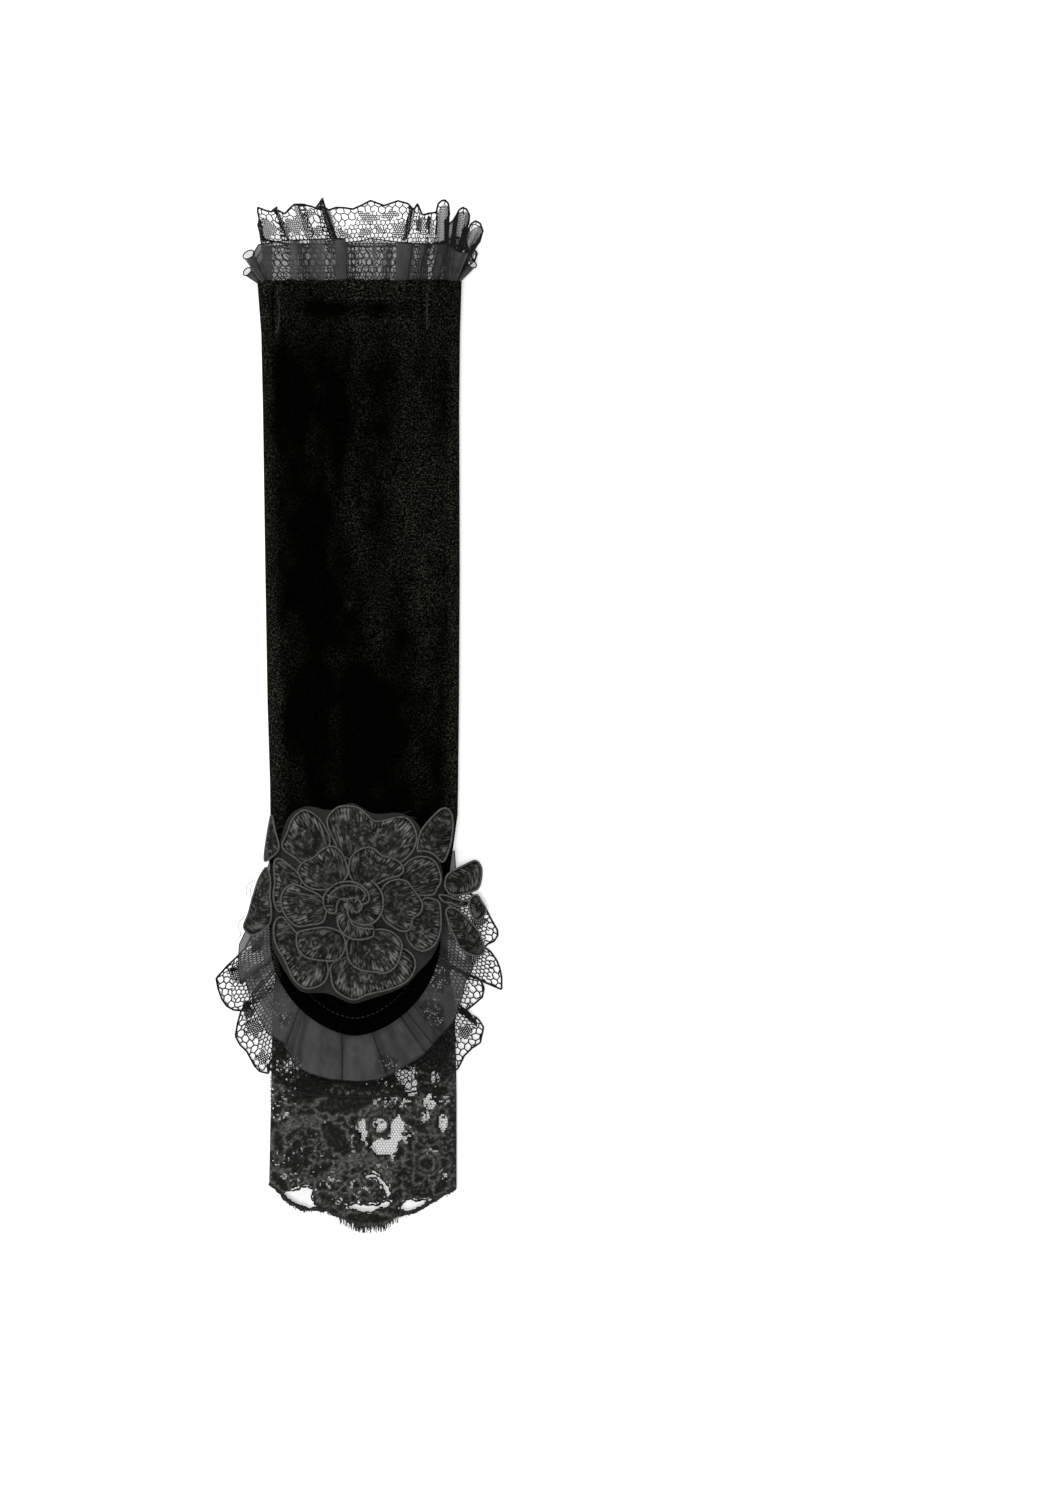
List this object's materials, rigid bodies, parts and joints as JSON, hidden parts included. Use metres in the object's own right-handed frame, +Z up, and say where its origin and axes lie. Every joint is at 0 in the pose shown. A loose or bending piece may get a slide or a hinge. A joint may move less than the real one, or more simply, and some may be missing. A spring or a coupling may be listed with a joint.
{
  "type": "wrist warmer",
  "caption": "Long fingerless velvet wrist warmer with pleated organza and lace ruffles, an embroidered rose on the back of the hand and a lace hand tube, lying flat",
  "frame": {"origin": "on the floor, under the middle of the overall box, with the palm side down", "axes": "+Y towards the elbow, -Y towards the fingers, +Z up out of the back of the hand, +X to the right in the view from above"},
  "size_m": [0.1214, 0.4321, 0.0236],
  "materials": {
    "velvet": "black stretch velvet",
    "organza": "black see-through organza",
    "lace": "black corded lace on fine net",
    "lace_trim": "black net lace edging",
    "rose_net": "black net backing",
    "rose_thread": "dark grey satin stitch"
  },
  "bodies": {
    "root": {"velvet_sleeve": "velvet", "lace_hand": "lace", "top_organza_ruffle": "organza", "top_lace_ruffle": "lace_trim", "lower_organza_ruffle": "organza", "lower_lace_ruffle": "lace_trim", "rose_net": "rose_net", "outer_petal_1": "rose_thread", "outer_petal_2": "rose_thread", "outer_petal_3": "rose_thread", "outer_petal_4": "rose_thread", "outer_petal_5": "rose_thread", "outer_petal_6": "rose_thread", "outer_petal_7": "rose_thread", "inner_petal_1": "rose_thread", "inner_petal_2": "rose_thread", "inner_petal_3": "rose_thread", "inner_petal_4": "rose_thread", "inner_petal_5": "rose_thread", "inner_petal_6": "rose_thread", "rose_heart": "rose_thread", "rose_bud": "rose_thread", "leaf_1": "rose_thread", "leaf_2": "rose_thread", "leaf_3": "rose_thread", "leaf_4": "rose_thread", "leaf_5": "rose_thread", "leaf_6": "rose_thread", "stem": "rose_thread"}
  },
  "joints": []
}
